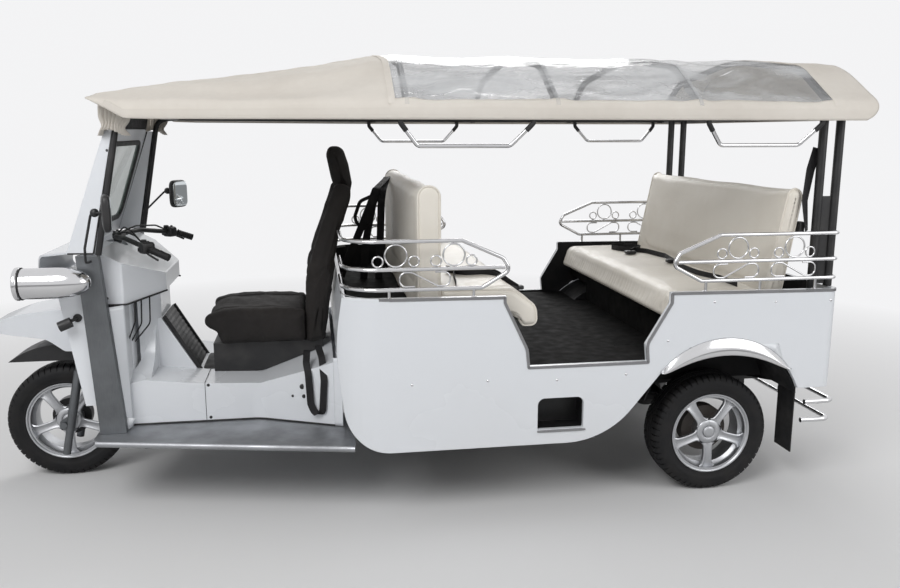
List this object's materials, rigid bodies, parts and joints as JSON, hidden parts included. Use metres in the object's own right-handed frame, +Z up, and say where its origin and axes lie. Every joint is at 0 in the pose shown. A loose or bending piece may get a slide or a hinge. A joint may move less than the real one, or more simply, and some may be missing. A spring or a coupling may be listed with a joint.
{
  "type": "auto rickshaw",
  "caption": "Open three-wheeled passenger cart with a steered front wheel, driver's seat, two facing benches in a low-sided tub, rails and a long canopy.",
  "frame": {"origin": "on the ground under the middle of the length and width", "axes": "+X points to the rear of the vehicle, +Y to its right side, +Z up; the front faces -X"},
  "size_m": [3.7596, 1.76, 1.937],
  "materials": {
    "tyre": "matte",
    "alloy": "satin cast with machined lip",
    "black_steel": "semi-gloss",
    "cast_iron": "bare",
    "grey_steel": "dull brushed",
    "black_plastic": "fine grain",
    "white_paint": "gloss",
    "black_floor": "ribbed matting",
    "cream_vinyl": "soft grain",
    "chrome": "polished",
    "worn_aluminium": "scuffed",
    "rubber": "matte",
    "clear_glass": "polished, faint green",
    "lamp_glass": "fluted",
    "black_fabric": "woven",
    "cream_canvas": "coated canvas",
    "clear_vinyl": "soft sheet, faint wrinkles",
    "red_lens": "moulded"
  },
  "bodies": {
    "body": {"arch_strips": "chrome", "bench_bases": "black_floor", "canopy_cloth": "cream_canvas", "canopy_windows": "clear_vinyl", "chassis_rails": "black_steel", "cross_members": "black_steel", "dash_cowl": "white_paint", "driver_seat_back": "black_fabric", "driver_seat_base": "black_steel", "driver_seat_cushion": "black_fabric", "energy_pack": "black_steel", "floor_console": "white_paint", "front_bench_back": "cream_vinyl", "front_bench_cushion": "cream_vinyl", "front_cowl": "white_paint", "front_fender": "white_paint", "grab_hoops": "chrome", "headlamp_lenses": "lamp_glass", "headlamp_shells": "chrome", "indicators": "black_plastic", "leaf_springs": "black_steel", "leg_shield": "white_paint", "mirrors": "black_plastic", "mudflaps": "rubber", "outriggers": "black_steel", "passenger_floor": "black_floor", "rear_axle": "black_steel", "rear_bench_back": "cream_vinyl", "rear_bench_cushion": "cream_vinyl", "rear_bumper": "chrome", "rear_posts": "black_steel", "roof_frame": "black_steel", "running_boards": "worn_aluminium", "side_panel_left": "white_paint", "side_panel_right": "white_paint", "side_rails": "chrome", "steering_head": "black_steel", "step_recesses": "black_steel", "tail_lamps": "red_lens", "tow_eye": "black_steel", "tub_end_walls": "white_paint", "uprights": "grey_steel", "wheel_housings": "black_steel", "windscreen_frame": "white_paint", "windscreen_glass": "clear_glass", "windscreen_seal": "rubber"},
    "steering": {"fork": "grey_steel", "handlebar": "black_plastic", "fork_mudguard": "black_plastic"},
    "front_wheel": {"front_tyre": "tyre", "front_rim": "alloy", "front_hub": "black_steel"},
    "rear_wheel_left": {"rear_tyre_left": "tyre", "rear_rim_left": "alloy", "rear_drum_left": "cast_iron"},
    "rear_wheel_right": {"rear_tyre_right": "tyre", "rear_rim_right": "alloy", "rear_drum_right": "cast_iron"}
  },
  "joints": [
    {"name": "steering_turn", "type": "hinge", "parent": "body", "child": "steering", "pos_m": [-1.534, 0, 0.266], "axis": [0.2687, 0, 0.9632], "range_deg": [-30, 30]},
    {"name": "front_wheel_spin", "type": "hinge", "parent": "steering", "child": "front_wheel", "pos_m": [-1.57, 0, 0.266], "axis": [0, 1, 0], "continuous": true},
    {"name": "rear_left_wheel_spin", "type": "hinge", "parent": "body", "child": "rear_wheel_left", "pos_m": [1.309, -0.637, 0.266], "axis": [0, 1, 0], "continuous": true},
    {"name": "rear_right_wheel_spin", "type": "hinge", "parent": "body", "child": "rear_wheel_right", "pos_m": [1.309, 0.637, 0.266], "axis": [0, 1, 0], "continuous": true}
  ]
}
